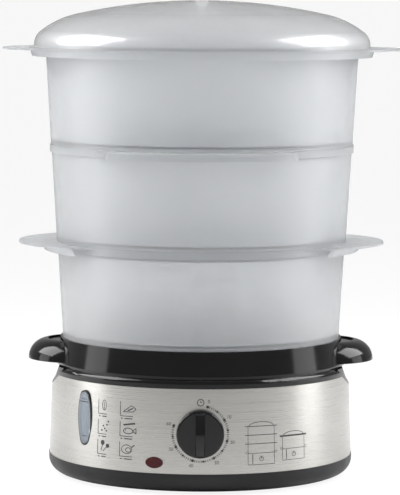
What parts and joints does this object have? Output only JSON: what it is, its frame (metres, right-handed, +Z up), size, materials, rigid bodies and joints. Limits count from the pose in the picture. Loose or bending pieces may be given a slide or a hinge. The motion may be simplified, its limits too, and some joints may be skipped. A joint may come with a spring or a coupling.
{
  "type": "electric food steamer",
  "caption": "Round electric food steamer: steel-clad base with timer knob and water gauge, black drip tray, stacked translucent baskets with flat wings and a domed lid.",
  "frame": {"origin": "middle of the base in the plane of the feet's undersides", "axes": "+Z up, -Y towards the front with the timer knob, +X to the right seen from the front"},
  "size_m": [0.3252, 0.3086, 0.387],
  "materials": {
    "black_satin": "satin",
    "black_gloss": "gloss",
    "steel_brushed": "brushed",
    "steel_plain": "satin",
    "zinc": "satin",
    "cast_aluminium": "cast",
    "silicone": "matte",
    "rubber_black": "matte",
    "ivory": "satin",
    "lamp_red": "clear gloss",
    "neon_glass": "clear",
    "gauge_clear": "clear gloss",
    "milky": "translucent gloss"
  },
  "bodies": {
    "base": {"base_shell": "black_satin", "bottom_cover": "black_satin", "rubber_feet": "rubber_black", "bottom_screws": "zinc", "metal_sleeve": "steel_brushed", "water_tank": "black_gloss", "heater_gasket": "silicone", "heater_plate": "steel_plain", "heating_element": "cast_aluminium", "heater_clamp": "zinc", "heater_screws": "zinc", "thermostat": "black_satin", "thermal_fuse": "zinc", "timer_module": "ivory", "timer_screws": "zinc", "lamp_lens": "lamp_red", "neon_lamp": "neon_glass", "gauge_window": "gauge_clear", "gauge_gasket": "rubber_black", "cord_gland": "rubber_black", "terminal_block": "ivory"},
    "steam_ring": {"steam_ring": "black_satin"},
    "knob": {"timer_knob": "black_gloss", "timer_shaft": "zinc"},
    "drip_tray": {"drip_tray": "black_gloss"},
    "lower_basket": {"lower_basket": "milky"},
    "middle_basket": {"middle_basket": "milky"},
    "upper_basket": {"upper_basket": "milky"},
    "lid": {"lid": "milky"}
  },
  "joints": [
    {"name": "steam_ring_lift", "type": "slide", "parent": "base", "child": "steam_ring", "axis": [0, 0, 1], "range_m": [0, 0.0075]},
    {"name": "timer_turn", "type": "hinge", "parent": "base", "child": "knob", "pos_m": [0, -0.125, 0.049], "axis": [0, 1, 0], "range_deg": [0, 286]},
    {"name": "tray_lift", "type": "slide", "parent": "base", "child": "drip_tray", "axis": [0, 0, 1], "range_m": [0, 0.06]},
    {"name": "lower_basket_lift", "type": "slide", "parent": "drip_tray", "child": "lower_basket", "axis": [0, 0, 1], "range_m": [0, 0.06]},
    {"name": "middle_basket_lift", "type": "slide", "parent": "lower_basket", "child": "middle_basket", "axis": [0, 0, 1], "range_m": [0, 0.06]},
    {"name": "upper_basket_lift", "type": "slide", "parent": "middle_basket", "child": "upper_basket", "axis": [0, 0, 1], "range_m": [0, 0.06]},
    {"name": "lid_lift", "type": "slide", "parent": "upper_basket", "child": "lid", "axis": [0, 0, 1], "range_m": [0, 0.1]}
  ]
}
